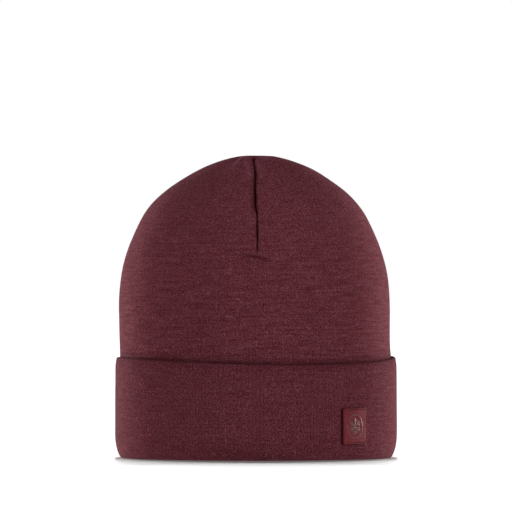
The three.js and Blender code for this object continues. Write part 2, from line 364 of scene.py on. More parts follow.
# %% Tone of the yarn
def yarn_tone(tree, place, streak):
    """The yarn's tone, dark at 0 and pale at 1, and the flecks in it."""
    flecks = add(tree, "ShaderNodeTexNoise", {
        "Vector": place, "Scale": 1000 / FLECK, "Detail": 2.0, "Roughness": 0.7}).outputs["Fac"]
    cloth_map = add(tree, "ShaderNodeUVMap", uv_map="cloth").outputs["UV"]
    drawn = add(tree, "ShaderNodeMapping", {
        "Vector": cloth_map,
        "Scale": (MAP_UNIT / STREAK_LENGTH, MAP_UNIT / STREAK_HEIGHT, 1)})
    streaks = add(tree, "ShaderNodeTexNoise", {
        "Vector": drawn.outputs["Vector"], "Scale": 1.0, "Detail": 1.5}, noise_dimensions="2D")
    up = add(tree, "ShaderNodeSeparateXYZ", {"Vector": cloth_map}).outputs["Y"]
    near_top = {"Value": up, "From Min": STREAK_TOP[0] / MAP_UNIT,
                "From Max": STREAK_TOP[1] / MAP_UNIT}
    shown = add(tree, "ShaderNodeMapRange", {
        **near_top, "To Min": 2 * streak, "To Max": 0.4 * streak})
    mixed = add(tree, "ShaderNodeMath", {0: streaks.outputs["Fac"], 1: 0.5},
                operation="SUBTRACT")
    tone = add(tree, "ShaderNodeMath", {
        0: mixed.outputs[0], 1: shown.outputs["Result"], 2: 0.5}, operation="MULTIPLY_ADD")
    strength = add(tree, "ShaderNodeMapRange", {
        **near_top, "To Min": 1.0, "To Max": FLECK_TOP})
    fleck = add(tree, "ShaderNodeMath", {0: flecks, 1: 0.5}, operation="SUBTRACT")
    tone = add(tree, "ShaderNodeMath", {
        0: fleck.outputs[0], 1: strength.outputs["Result"], 2: tone.outputs[0]},
        operation="MULTIPLY_ADD")
    return tone.outputs[0], flecks


print(f"flecks {FLECK} mm wide, streaks {STREAK_LENGTH} x {STREAK_HEIGHT} mm")


# %% Loose fibre ends
def with_fibres(tree, place, tone):
    """The tone with a few loose fibre ends lying on it."""
    curls = add(tree, "ShaderNodeTexNoise", {
        "Vector": place, "Scale": 1000 / FIBRE_CURL, "Detail": 0.0})
    ends = add(tree, "ShaderNodeTexNoise", {
        "Vector": place, "Scale": 1000 / FIBRE_SPOT, "Detail": 0.0})
    on_line = add(tree, "ShaderNodeMath", {
        0: curls.outputs["Fac"], 1: 0.5, 2: FIBRE_WIDTH / FIBRE_CURL / 2}, operation="COMPARE")
    here = add(tree, "ShaderNodeMapRange", {
        "Value": ends.outputs["Fac"], "From Min": 0.60, "From Max": 0.70})
    fibre = add(tree, "ShaderNodeMath", {
        0: on_line.outputs[0], 1: here.outputs["Result"]}, operation="MULTIPLY")
    return add(tree, "ShaderNodeMath", {0: fibre.outputs[0], 1: FIBRE_TONE, 2: tone},
               operation="MULTIPLY_ADD").outputs[0]


print(f"fibre ends {FIBRE_WIDTH} mm wide")


# %% Colour of the yarn
def yarn_colour(tree, place, tone, wine, dark, mauve):
    """The three dyed fibres for a tone, under slow drifts of a redder and a greyer cast."""
    tones = add(tree, "ShaderNodeValToRGB", {"Fac": tone})
    ramp = tones.color_ramp
    ramp.elements[0].position, ramp.elements[0].color = 0.32, linear(dark)
    ramp.elements[1].position, ramp.elements[1].color = 0.70, linear(mauve)
    middle = ramp.elements.new(0.5)
    middle.color = linear(wine)
    drifts = add(tree, "ShaderNodeTexNoise", {
        "Vector": place, "Scale": 1000 / DRIFT, "Detail": 2.0})
    casts = add(tree, "ShaderNodeValToRGB", {"Fac": drifts.outputs["Fac"]})
    redder, greyer = casts.color_ramp.elements
    redder.position, redder.color = 0.35, (1.0, 0.92, 0.94, 1)
    greyer.position, greyer.color = 0.65, (0.96, 1.0, 1.0, 1)
    return add(tree, "ShaderNodeVectorMath", {
        0: tones.outputs["Color"], 1: casts.outputs["Color"]},
        operation="MULTIPLY").outputs["Vector"]


print(f"redder and greyer drifts {DRIFT} mm wide")


# %% Painted shade in gaps and folds, painted highlight on crests
def shade_cloth(tree, colour, height):
    """The colour, with painted shade between the stitches and in folds, and a painted highlight
    on crests.
    """
    # Painted shade: the colour is darker in the gaps between stitches, where shade falls.
    gaps = add(tree, "ShaderNodeMapRange", {
        "Value": height, "From Max": 0.75, "To Min": 0.82, "To Max": 1.04})
    shaded = add(tree, "ShaderNodeVectorMath", {
        0: colour, "Scale": gaps.outputs["Result"]}, operation="SCALE").outputs["Vector"]
    painted_shading = add(tree, "ShaderNodeAttribute", attribute_name="painted_shading").outputs["Fac"]
    # Below 0 the attribute is a painted highlight on a crest, above 0 painted shade in a fold.
    wear_and_highlight = add(tree, "ShaderNodeMath", {0: painted_shading, 1: 0.0}, operation="MINIMUM")
    pale = add(tree, "ShaderNodeVectorMath", {
        0: [-tint for tint in HIGHLIGHT_TINT], "Scale": wear_and_highlight.outputs[0]}, operation="SCALE")
    with_highlight = add(tree, "ShaderNodeVectorMath", {
        0: shaded, 1: pale.outputs["Vector"], 2: shaded}, operation="MULTIPLY_ADD")
    # Painted shade in a fold mixes the colour towards this very dark wine red.
    return add(tree, "ShaderNodeMix", {
        "Factor": painted_shading, 6: with_highlight.outputs["Vector"], 7: linear("#22060a")},
        data_type="RGBA").outputs[2]


print("a full crest is paler by", HIGHLIGHT_TINT)


# %% Jersey material
def jersey(name, streak, wine, dark, mauve):
    """Heathered jersey. streak says how much the yarn's tone changes along the rows."""
    material, tree, cloth = new_material(name, roughness=0.95, gloss=0.003)
    place = add(tree, "ShaderNodeTexCoord").outputs["Object"]
    tone, flecks = yarn_tone(tree, place, streak)
    tone = with_fibres(tree, place, tone)
    colour = yarn_colour(tree, place, tone, wine, dark, mauve)
    height = stitch_height(tree)
    raised = {"Strength": RELIEF_SHARE, "Distance": RELIEF * MM}
    relief = add(tree, "ShaderNodeBump", {"Height": height, **raised})
    wool = add(tree, "ShaderNodeBump", {
        "Height": flecks, "Normal": relief.outputs["Normal"], **raised})
    tree.links.new(shade_cloth(tree, colour, height), cloth.inputs["Base Color"])
    tree.links.new(wool.outputs["Normal"], cloth.inputs["Normal"])
    cloth.inputs["Sheen Weight"].default_value = 0.01
    cloth.inputs["Sheen Roughness"].default_value = 0.3
    cloth.inputs["Sheen Tint"].default_value = linear("#d8ccd6")
    return material


crown_jersey = jersey("heathered_merino_jersey", 0.07, "#512329", "#2b0409", "#774850")
# The cuff's copy is a little darker: painted shade that tones down the extra light the cuff gets.
cuff_jersey = jersey("turned_up_merino_jersey", 0.04, "#4d2228", "#290409", "#76454d")
print("jersey materials ready")


# %% [markdown]
# ## The crown
#
# A knitted dome starts here as the upper half of a sphere with an upright wall under it. Half
# a UV sphere has its rows round the head and its columns running to the top, which is how
# such a crown is cut and sewn. Close beside each dart the columns are split finer, because
# the cloth turns sharply there.

# %% The crown's blank
def only(wanted, mode="VERT"):
    """Selects just the points or edges of the mesh in edit mode for which wanted() is true."""
    bpy.ops.mesh.select_mode(type=mode)
    bpy.ops.mesh.select_all(action="DESELECT")
    mesh = bpy.context.edit_object.data
    edit = bmesh.from_edit_mesh(mesh)
    for element in (edit.verts if mode == "VERT" else edit.edges):
        element.select_set(bool(wanted(element)))
    edit.select_flush_mode()
    bmesh.update_edit_mesh(mesh)


SEGMENTS = 128
RINGS = 88
WALL_STEPS = [8, 12, 16, 20, 24, 30, 38, 48, 60, 1000 * (DOME_SPRING - CROWN_BOTTOM)]

bpy.ops.object.select_all(action="DESELECT")
bpy.ops.mesh.primitive_uv_sphere_add(segments=SEGMENTS, ring_count=RINGS, radius=1)
crown = bpy.context.active_object
crown.name = "crown_cloth"
bpy.ops.object.mode_set(mode="EDIT")
bpy.ops.mesh.select_all(action="SELECT")
bpy.ops.mesh.bisect(plane_co=(0, 0, 0), plane_no=(0, 0, 1), clear_inner=True)
only(lambda v: abs(v.co.z) < 1e-5)
depth = 0
for step in WALL_STEPS:
    drop = (depth - step) * MM
    bpy.ops.mesh.extrude_region_move(TRANSFORM_OT_translate={"value": (0, 0, drop)})
    depth = step
print("crown blank:", len(bmesh.from_edit_mesh(crown.data).verts), "points")


# %% Finer columns beside the darts
def columns_from_dart(v):
    """How many of the blank's columns lie between a point and the nearest dart."""
    turn = math.atan2(v.co.x, -v.co.y) % (math.pi / 2)
    return min(turn, math.pi / 2 - turn) * SEGMENTS / (2 * math.pi)


def level_edge_between(low, high):
    """True for a level edge whose ends lie that many columns from a dart."""
    def test(edge):
        a, b = edge.verts
        if abs(a.co.z - b.co.z) > 1e-6 or math.hypot(a.co.x, a.co.y) < 1e-4:
            return False
        near, far = sorted((columns_from_dart(a), columns_from_dart(b)))
        return abs(near - low) < 0.01 and abs(far - high) < 0.01
    return test


only(level_edge_between(1, 2), "EDGE")
bpy.ops.mesh.subdivide(number_cuts=1)
only(level_edge_between(0, 1), "EDGE")
bpy.ops.mesh.subdivide(number_cuts=4)
only(level_edge_between(0, 0.2), "EDGE")
bpy.ops.mesh.subdivide(number_cuts=1)
bpy.ops.mesh.select_all(action="SELECT")
bpy.ops.mesh.subdivide(number_cuts=1)
bpy.ops.object.mode_set(mode="OBJECT")
print("with finer columns:", len(crown.data.vertices), "points")


# %% Finer rows where the front and back darts run out
# The dent under a dart's end is about as high as one row of the blank, so a few rows there
# are split in four. The blank still has a radius of 1, which is what these shares are of.
END_ROWS = (0.19, 0.36)
END_HALF_WIDTH = 0.22


def near_dart_end(edge):
    """True for an upright edge of the few rows in which a dart's line ends."""
    a, b = (v.co for v in edge.verts)
    if abs(a.z - b.z) < 1e-6 or max(abs(a.x), abs(b.x)) > END_HALF_WIDTH:
        return False
    return all(END_ROWS[0] < p.z < END_ROWS[1] for p in (a, b))


bpy.ops.object.mode_set(mode="EDIT")
only(near_dart_end, "EDGE")
bpy.ops.mesh.subdivide(number_cuts=3)
bpy.ops.object.mode_set(mode="OBJECT")
print("with finer rows:", len(crown.data.vertices), "points")

# %% [markdown]
# The blank is now lasted like a felt hat: every point keeps its turn round the head and its
# climb up the dome, and is moved to where the hat's outline has that turn and climb. The
# outline is the same pair of powers that shaped the measured solid.


# %% The dome's outline
def step_between(value, low, high):
    """0 below low, 1 above high and smooth between."""
    t = min(1.0, max(0.0, (value - low) / (high - low)))
    return t * t * (3 - 2 * t)


def dome(climb, below):
    """Half-width as a share of the widest, and height, for a climb from 0 to a right angle."""
    rise = max(0.0, math.sin(climb)) ** (2 / DOME_SHOULDER)
    height = DOME_SPRING - below + (CROWN_TOP - DOME_SPRING) * rise
    share = max(0.0, math.cos(climb)) ** (2 / DOME_TOP)
    swell = sum(amount * math.exp(-((height - middle) / spread) ** 2)
                for amount, middle, spread in SWELLS)
    return share + swell / CROWN_A * min(1.0, share / SWELL_FADE), height


def slump(height):
    """Sideways lean of the soft dome at a height."""
    back = (CROWN_LEAN - TOP_LEAN) * step_between(height, *LEAN_TO)
    return CROWN_LEAN * step_between(height, *LEAN_FROM) - back


print(f"half-width at half a right angle: {1000 * CROWN_A * dome(math.pi / 4, 0)[0]:.0f} mm")

# %% Last the crown
crown_turns, crown_climbs, crown_heights, crown_shares = [], [], [], []
for v in crown.data.vertices:
    turn = math.atan2(v.co.x, -v.co.y)
    climb = math.atan2(max(0.0, v.co.z), math.hypot(v.co.x, v.co.y))
    share, height = dome(climb, max(0.0, -v.co.z))
    crown_turns.append(turn)
    crown_climbs.append(climb)
    crown_heights.append(height)
    crown_shares.append(share)
    v.co = (CROWN_A * share * math.sin(turn) + slump(height),
            -CROWN_B * share * math.cos(turn), height)
outer_count = len(crown.data.vertices)
print(f"lasted, {1000 * crown.dimensions.z:.0f} mm high")

# %% Give the crown its thickness
crown.data.update()
wall = crown.modifiers.new("two plies", "SOLIDIFY")
wall.thickness = CLOTH
wall.offset = -1
bpy.context.view_layer.objects.active = crown
crown.select_set(True)
bpy.ops.object.modifier_apply(modifier=wall.name)
print("two skins:", len(crown.data.vertices), "points")

# %% [markdown]
# ## Darts, puckers and dents
#
# A dart is a fold of cloth that is pinched inside and sewn, so outside the cloth rolls into a
# narrow groove with a soft valley beside it, and the groove's dark line is painted shade as
# well as its own depth. Where the seam runs out it leaves a small raised point, with a painted
# highlight, and a shallow dent under it, with painted shade. At the top, where four darts meet,
# the spare cloth puckers, and its ridges get a painted highlight. These are drawn in as a
# sculptor would, by moving points along the surface's own direction, and both skins move
# together so that the cloth keeps its thickness.

# %% The darts
DARTS = [       # turn, height of the lower end, and sideways wander; share of the full relief
    {"turn": 0.0, "low_end": 126.8, "drift_end": 2.0, "drift_top": -2.3, "relief": 1.0},
    {"turn": math.pi / 2, "low_end": 133, "drift_end": -1.2, "drift_top": 0.6, "relief": 0.3},
    {"turn": math.pi, "low_end": 127, "drift_end": 0.4, "drift_top": 1.4, "relief": 0.8},
    {"turn": 3 * math.pi / 2, "low_end": 131, "drift_end": 0.9, "drift_top": -0.5, "relief": 0.3},
]
QUARTER = math.pi / 2
print("darts:", len(DARTS))

# %% The section of a dart
GROOVE_DEPTH = 2.4      # millimetres, as all the values in this cell
GROOVE_REACH = 0.55
GROOVE_OPENS = 0.06     # share of its length over which the groove opens from its end
ROLL_DEPTH = 0.7        # on one side the cloth rolls gently down into the groove
ROLL_REACH = 2.6
VALLEY_DEPTH = 0.45
VALLEY_REACH = 6.0
TOP_RADIUS = (3, 18)    # the grooves grow shallow in here, where the four of them meet
SHADE_RADIUS = (9, 16)  # and so does their line of painted shade
ROLL_FROM = (0.38, 0.5)     # the roll lies between these shares of the dart's length
ROLL_TO = (0.64, 0.78)
DRIFT_POWER = 2.2       # the line wanders mostly near the top
WOBBLE = 0.3            # and trembles by this much, as a sewn line does
print(f"grooves {GROOVE_DEPTH} mm deep")


# %% Places beside a dart
def signed_turn(turn, centre):
    """Turn from a centre line, between minus and plus half a circle."""
    return math.atan2(math.sin(turn - centre), math.cos(turn - centre))


def mm_aside(dart, turn, share):
    """How far a place lies beside a dart, in millimetres round the crown."""
    per_turn = CROWN_B if abs(math.sin(dart["turn"])) > 0.5 else CROWN_A
    return 1000 * per_turn * share * signed_turn(turn, dart["turn"])


def dart_along(dart, height):
    """0 at a dart's lower end and 1 at the top of the hat."""
    low = dart["low_end"]
    return (1000 * height - low) / (1000 * CROWN_TOP - low)


def dart_drift(dart, height, share):
    """How far a dart's line has wandered to the side, in millimetres."""
    along = min(1.0, max(0.0, dart_along(dart, height)))
    drift = dart["drift_end"] + (dart["drift_top"] - dart["drift_end"]) * along ** DRIFT_POWER
    beat = math.sin(1000 * height / 2.9) * math.sin(1000 * height / 7.3 + dart["turn"])
    drift += WOBBLE * beat
    return drift * step_between(1000 * CROWN_A * share, 0, 10)


print(f"at the top the front dart has wandered {dart_drift(DARTS[0], CROWN_TOP, 0.2):.1f} mm")


# %% Depth and shade of a dart
def dart_groove(dart, turn, height, share):
    """0 away from a dart's sewn line and 1 on it, with the roll of cloth beside it."""
    along = dart_along(dart, height)
    if along < 0:
        return 0.0, 0.0
    aside = mm_aside(dart, turn, share)
    opened = step_between(along, 0.0, GROOVE_OPENS)
    reach = GROOVE_REACH * (0.72 + 0.33 * step_between(along, 0.35, 0.65))
    reach *= 1 + 0.25 * math.sin(1000 * height / 1.7 + 2 * math.sin(1000 * height / 5))
    line = opened * math.exp(-(abs(aside) / reach) ** 1.3)
    rolled = step_between(along, *ROLL_FROM) * (1 - step_between(along, *ROLL_TO))
    roll = rolled * math.exp(-(aside / ROLL_REACH) ** 2)
    return line, roll if aside < 0 else 0.0


def dart_depth(dart, turn, height, share):
    """How deep a dart draws the cloth in at a place, in millimetres."""
    along = dart_along(dart, height)
    if along < 0:
        return 0.0
    line, roll = dart_groove(dart, turn, height, share)
    aside = mm_aside(dart, turn, share)
    top = step_between(1000 * CROWN_A * share, *TOP_RADIUS)
    valley = math.exp(-(aside / VALLEY_REACH) ** 2) * (1 - along ** 2)
    valley *= step_between(along, 0.0, 0.3)
    soft = dart["relief"] * (ROLL_DEPTH * roll + VALLEY_DEPTH * valley)
    return top * GROOVE_DEPTH * line * (0.4 + 0.6 * dart["relief"]) + soft


def dart_shade(dart, turn, height, share):
    """Painted shade in a dart: 1 on the sewn line, and some on the roll of cloth beside it."""
    line, roll = dart_groove(dart, turn, height, share)
    top = step_between(1000 * CROWN_A * share, *SHADE_RADIUS)
    return min(1.0, line ** 0.8 * top + 0.7 * roll)


print(f"the front dart is {dart_depth(DARTS[0], 0.0, 0.15, 0.8):.1f} mm deep at 150 mm up")


# %% Puckers near the top
PUCKERS = [     # soft ridges that run down from the top: turn in degrees, all else in millimetres
    {"turn": -15.5, "shift": -5.2, "near": 9, "far": 33, "width": 0.6, "height": 0.7},
    {"turn": -28, "shift": 0, "near": 26, "far": 44, "width": 2.2, "height": 0.15},
    {"turn": 24, "shift": 0, "near": 7, "far": 24, "width": 2.2, "height": 0.35},
    {"turn": 62, "shift": 0, "near": 9, "far": 30, "width": 2.0, "height": 0.35},
    {"turn": 118, "shift": 0, "near": 8, "far": 27, "width": 1.8, "height": 0.4},
    {"turn": 153, "shift": 0, "near": 10, "far": 32, "width": 2.0, "height": 0.35},
    {"turn": -148, "shift": 0, "near": 9, "far": 29, "width": 1.8, "height": 0.4},
    {"turn": -112, "shift": 0, "near": 8, "far": 25, "width": 2.2, "height": 0.35},
    {"turn": -64, "shift": 0, "near": 9, "far": 28, "width": 1.8, "height": 0.3},
]
RIDGE_START = 0.7       # a ridge's width at the top, as a share of the table's
RIDGE_WIDENS = 28       # it grows by one more share in so many millimetres
RIPPLES = 11            # small lumps round the point where the darts meet
RIPPLE_HEIGHT = 0.22
RIPPLE_REACH = 22


def ridges(turn, share):
    """How far the soft ridges stand up at a place near the top, in millimetres."""
    radius = 1000 * CROWN_A * share
    raised = 0.0
    for ridge in PUCKERS:
        aside = signed_turn(turn, math.radians(ridge["turn"])) * radius - ridge["shift"]
        length = step_between(radius, ridge["near"] - 5, ridge["near"] + 3)
        length *= 1 - step_between(radius, ridge["far"] - 12, ridge["far"])
        width = ridge["width"] * (RIDGE_START + radius / RIDGE_WIDENS)
        raised += ridge["height"] * length * math.exp(-(aside / width) ** 2)
    return raised


def puckered(turn, share):
    """How far the cloth stands up near the top, in millimetres."""
    radius = 1000 * CROWN_A * share
    ripple = RIPPLE_HEIGHT * math.sin(RIPPLES * turn + 0.8)
    return ripple * math.exp(-(radius / RIPPLE_REACH) ** 2) + ridges(turn, share)


print("ridges near the top:", len(PUCKERS))

# %% Points, dents and shoulders of the darts, in millimetres
POINT = {"aside": 2.5, "half_width": 4.0, "up": 0.8, "tilt": 0.1, "half_height": 1.4}
DENT = {"aside": -0.8, "half_width": 8.5, "up": -2.1, "tilt": 0.23, "above": 0.8, "below": 1.4}
SHOULDER = {"aside": 3.6, "half_width": 1.9, "from": (170, 177), "right_to": (181, 185)}


def dart_end(dart, turn, height, share):
    """The small raised point where a dart runs out and the dent under it, each up to 1."""
    across = mm_aside(dart, turn, share)
    up = 1000 * height - dart["low_end"]
    high = up - POINT["up"] + POINT["tilt"] * across
    point = math.exp(-((across - POINT["aside"]) / POINT["half_width"]) ** 2
                     - (high / POINT["half_height"]) ** 2)
    low = up - DENT["up"] + DENT["tilt"] * across
    reach = DENT["above"] if low > 0 else DENT["below"]
    dent = math.exp(-(abs(across - DENT["aside"]) / DENT["half_width"]) ** 3
                    - (low / reach) ** 2)
    return dart["relief"] ** 2 * point, dart["relief"] ** 2 * dent


def dart_shoulder(dart, turn, height, share):
    """The painted highlight on the cloth beside the top of a dart, up to 1.

    It slants out from the dart, by twice as much as the dart's line wanders.
    """
    aside = mm_aside(dart, turn, share) - dart_drift(dart, height, share)
    beside = math.exp(-((abs(aside) - SHOULDER["aside"]) / SHOULDER["half_width"]) ** 2)
    beside *= step_between(1000 * height, *SHOULDER["from"]) * dart["relief"] ** 2
    if aside > 0:
        beside *= 1 - step_between(1000 * height, *SHOULDER["right_to"])
    return beside


point, dent = dart_end(DARTS[0], 0.0, DARTS[0]["low_end"] * MM, 0.9)
print(f"on the front dart's lower end: point {point:.2f}, dent {dent:.2f}")


# %% Waves of the cloth and of the cuff's edge
def waviness(place, size, amount):
    """A slow, irregular wave of the cloth: its size and amount in millimetres."""
    return amount * noise.noise(place * (1000 / size))


def cuff_edge(turn):
    """The turned-up edge isn't level: its height at a turn, in millimetres."""
    return (CUFF_HEIGHT - CUFF_DIP * math.cos(2 * turn) - CUFF_SLANT * math.sin(2 * turn)) / MM


print(f"the cuff's edge is {cuff_edge(0):.1f} mm up in front, {cuff_edge(QUARTER):.1f} at a side")

# %% Draw the crown in
POINT_HEIGHT = 0.6      # millimetres
DENT_DEPTH = 0.6
CROWN_WAVES = [(45, 0.6), (18, 0.25)]       # size and amount of its slow waves, millimetres
WAVES_FROM = 15         # millimetres over the cuff's edge at which they reach their full amount
DENT_SHADE = 0.65       # painted shade in the dent, as a share of the darkest painted shade
GAP_SHADE = 0.4         # and painted shadow in the gap where the crown goes down behind the cuff
GAP_REACH = 2.4         # and how far up that painted shadow reaches, in millimetres
POINT_HIGHLIGHT = 0.2        # painted highlight on the raised point
SHOULDER_HIGHLIGHT = 0.3     # and on the cloth beside the dart's top
CREST_HIGHLIGHT = 1.5        # and on a ridge, for each millimetre that it stands up

crown.data.update()
outward = [v.normal.copy() for v in crown.data.vertices[:outer_count]]
shapes, painted_shadings = [], []
for i in range(outer_count):
    turn, height, share = crown_turns[i], crown_heights[i], crown_shares[i]
    nearest = min(DARTS, key=lambda dart: abs(signed_turn(turn, dart["turn"])))
    pull = 1 - abs(signed_turn(turn, nearest["turn"])) / (QUARTER / 2)
    sideways = pull * dart_drift(nearest, height, share) * MM
    point, dent = dart_end(nearest, turn, height, share)
    lift = puckered(turn, share) + POINT_HEIGHT * point - DENT_DEPTH * dent
    lift -= dart_depth(nearest, turn, height, share)
    place = crown.data.vertices[i].co.copy()
    free = step_between(height, CUFF_HEIGHT, CUFF_HEIGHT + WAVES_FROM * MM)
    lift += free * sum(waviness(place, size, amount) for size, amount in CROWN_WAVES)
    along = Vector((math.cos(turn), math.sin(turn), 0))
    shapes.append(along * sideways + outward[i] * lift * MM)
    # Painted highlight on ridges, the raised point and the shoulder; painted shade in the dart,
    # the dent and the gap behind the cuff.
    crest_highlight = CREST_HIGHLIGHT * ridges(turn, share) + POINT_HIGHLIGHT * point
    crest_highlight += SHOULDER_HIGHLIGHT * dart_shoulder(nearest, turn, height, share)
    over_cuff = 1000 * height - cuff_edge(turn)
    gap = GAP_SHADE * math.exp(-(max(0.0, over_cuff) / GAP_REACH) ** 1.5)
    painted_shadings.append(dart_shade(nearest, turn, height, share) + DENT_SHADE * dent + gap - crest_highlight)
painted_shading = crown.data.attributes.new("painted_shading", "FLOAT", "POINT")
for i, v in enumerate(crown.data.vertices):
    v.co += shapes[i % outer_count]
    painted_shading.data[i].value = painted_shadings[i % outer_count]
bpy.ops.object.shade_smooth()
print("darts drawn in")


# %% [markdown]
# A knitted pattern has to follow the cloth, and the cloth was cut. Below the darts the
# stitches stand in upright columns all round. Above, each of the four panels keeps its own
# upright columns, and the darts cut across them. So the UV map measures each panel from its
# own middle line.

# %% Cloth map of the crown
OVAL_STEPS = 24         # how finely the lengths round and up the crown are added up
DOME_STEPS = 200


def oval_length(turn):
    """Length round the crown's oval from the middle of the front, in millimetres."""
    total = 0.0
    for k in range(OVAL_STEPS):
        t = turn * (k + 0.5) / OVAL_STEPS
        total += math.hypot(CROWN_A * math.cos(t), CROWN_B * math.sin(t))
    return 1000 * total * turn / OVAL_STEPS


def profile_lengths():
    """Heights up the crown's outline with the cloth's length to each, in millimetres."""
    table = [(1000 * CROWN_BOTTOM, 0.0)]
    at = (CROWN_A, CROWN_BOTTOM)
    for k in range(DOME_STEPS + 1):
        share, height = dome(k / DOME_STEPS * QUARTER, 0)
        here = (CROWN_A * share, height)
        length = table[-1][1] + 1000 * math.dist(at, here)
        table.append((1000 * height, length))
        at = here
    return table


PROFILE = profile_lengths()


def cloth_height(height):
    """Length of cloth from the crown's lower edge up to a height."""
    for (low, length_low), (high, length_high) in zip(PROFILE, PROFILE[1:]):
        if 1000 * height <= high:
            t = (1000 * height - low) / max(high - low, 1e-9)
            return length_low + t * (length_high - length_low)
    return PROFILE[-1][1]


cloth_ups = [cloth_height(height) for height in crown_heights]
uv = crown.data.uv_layers.active or crown.data.uv_layers.new(name="cloth")
uv.name = "cloth"
for face in crown.data.polygons:
    x = sum(crown.data.vertices[i].co.x for i in face.vertices)
    y = sum(crown.data.vertices[i].co.y for i in face.vertices)
    panel = (math.floor(math.atan2(x, -y) / QUARTER) + 0.5) * QUARTER
    middle = oval_length(panel)
    for corner in face.loop_indices:
        i = crown.data.loops[corner].vertex_index % outer_count
        aside = signed_turn(crown_turns[i], panel)
        if crown_shares[i] < 1e-3:
            aside = 0.0
        across = (oval_length(panel + aside) - middle) * crown_shares[i]
        uv.data[corner].uv = ((middle + across) / MAP_UNIT, cloth_ups[i] / MAP_UNIT)
print(f"cloth map: {PROFILE[-1][1]:.0f} mm of cloth from edge to top")

crown.data.materials.clear()
crown.data.materials.append(crown_jersey)
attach(crown, "root")
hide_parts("crown")

# %% [markdown]
# The crown is cut as a rectangle, as wide as the way round the oval and as high as the way
# from the lower edge to the top, less what the darts take away. The loop below only steps
# through the climbs of the outline's level bands; it adds up no area.

# %% Climbs of the outline's level bands
for k in range(DOME_STEPS):
    climb = (k + 0.5) / DOME_STEPS * QUARTER

# %% [markdown]
# ## The cuff
#
# The cuff is the lower end of the same tube, folded outwards and up. In section it is a long
# upright wall with a rounded edge at the top and a soft fold at the bottom, flattened where
# the hat stands on it. A ring is drawn at the cuff's edge and extruded along that section,
# and each new ring is scaled to its own distance from the face.


# %% The cuff's section
def bezier(p0, p1, p2, p3, count):
    """Points along a curve with two handles, without its first point."""
    points = []
    for k in range(1, count + 1):
        t = k / count
        s = 1 - t
        points.append(tuple(
            s ** 3 * a + 3 * s * s * t * b + 3 * s * t * t * c + t ** 3 * d
            for a, b, c, d in zip(p0, p1, p2, p3)))
    return points


def arc(x, y, radius, start, end, count):
    """Points along an arc, angles in degrees, with both its ends."""
    angles = [math.radians(start + (end - start) * k / count) for k in range(count + 1)]
    return [(x + radius * math.cos(a), y + radius * math.sin(a)) for a in angles]


FOOT_FROM, FOOT_TO = 3.9, 5.9           # insets and heights in millimetres
WALL_HEIGHT = 45.6                      # the upright part of the wall, and its steps
WALL_PARTS = 12
FOLD_HEIGHT = 8
ROUNDING_HEIGHT = 14
CREASE_HEIGHT = 3.6
EDGE = CLOTH / MM / 2
HEIGHT = CUFF_HEIGHT / MM
INSET = CROWN_INSET / MM
AIR = TURN_UP_AIR / MM / 2

section = [(0, HEIGHT - EDGE - WALL_HEIGHT * k / WALL_PARTS) for k in range(WALL_PARTS)]
section.append((0, ROUNDING_HEIGHT))
section += bezier((0, ROUNDING_HEIGHT), (0, 7), (2.0, 1.4), (FOOT_FROM, 0), 8)
section += [(FOOT_TO, 0)]
section += bezier((FOOT_TO, 0), (FOOT_TO + 1, 0), (6.2, 4), (INSET + 2 * EDGE, FOLD_HEIGHT), 6)
section += [(INSET, FOLD_HEIGHT)]
section += arc(INSET - AIR, CREASE_HEIGHT, AIR, 0, -180, 6)
inner_height = HEIGHT - EDGE - CREASE_HEIGHT
section += [(2 * EDGE, CREASE_HEIGHT + inner_height * k / 8) for k in range(1, 8)]
section += arc(EDGE, HEIGHT - EDGE, EDGE, 0, 180, 10)[:-1]
print(len(section), "points round the cuff's section")

# %% Extrude the cuff
COLUMNS = 192
bpy.ops.object.select_all(action="DESELECT")
bpy.ops.mesh.primitive_circle_add(vertices=COLUMNS, radius=1, fill_type="NOTHING")
cuff = bpy.context.active_object
cuff.name = "cuff_cloth"
bpy.ops.object.mode_set(mode="EDIT")
bpy.ops.mesh.select_all(action="SELECT")
inset, height = section[0]
axes = (CUFF_A - inset * MM, CUFF_B - inset * MM)
bpy.ops.transform.resize(value=(*axes, 1), center_override=(0, 0, 0))
bpy.ops.transform.translate(value=(0, 0, height * MM))
for next_inset, next_height in section[1:]:
    rise = (next_height - height) * MM
    bpy.ops.mesh.extrude_region_move(TRANSFORM_OT_translate={"value": (0, 0, rise)})
    next_axes = (CUFF_A - next_inset * MM, CUFF_B - next_inset * MM)
    scale = (next_axes[0] / axes[0], next_axes[1] / axes[1], 1)
    bpy.ops.transform.resize(value=scale, center_override=(0, 0, 0))
    height, axes = next_height, next_axes
bpy.ops.object.mode_set(mode="OBJECT")
print("cuff:", len(cuff.data.vertices), "points in", len(section), "rings")

# %% Close the cuff's section
last_ring = len(cuff.data.vertices) - COLUMNS
bpy.ops.object.mode_set(mode="EDIT")
only(lambda v: v.index < COLUMNS or v.index >= last_ring)
bpy.ops.mesh.bridge_edge_loops()
bpy.ops.mesh.select_all(action="SELECT")
bpy.ops.mesh.normals_make_consistent(inside=False)
bpy.ops.object.mode_set(mode="OBJECT")
print("closed:", len(cuff.data.polygons), "faces")


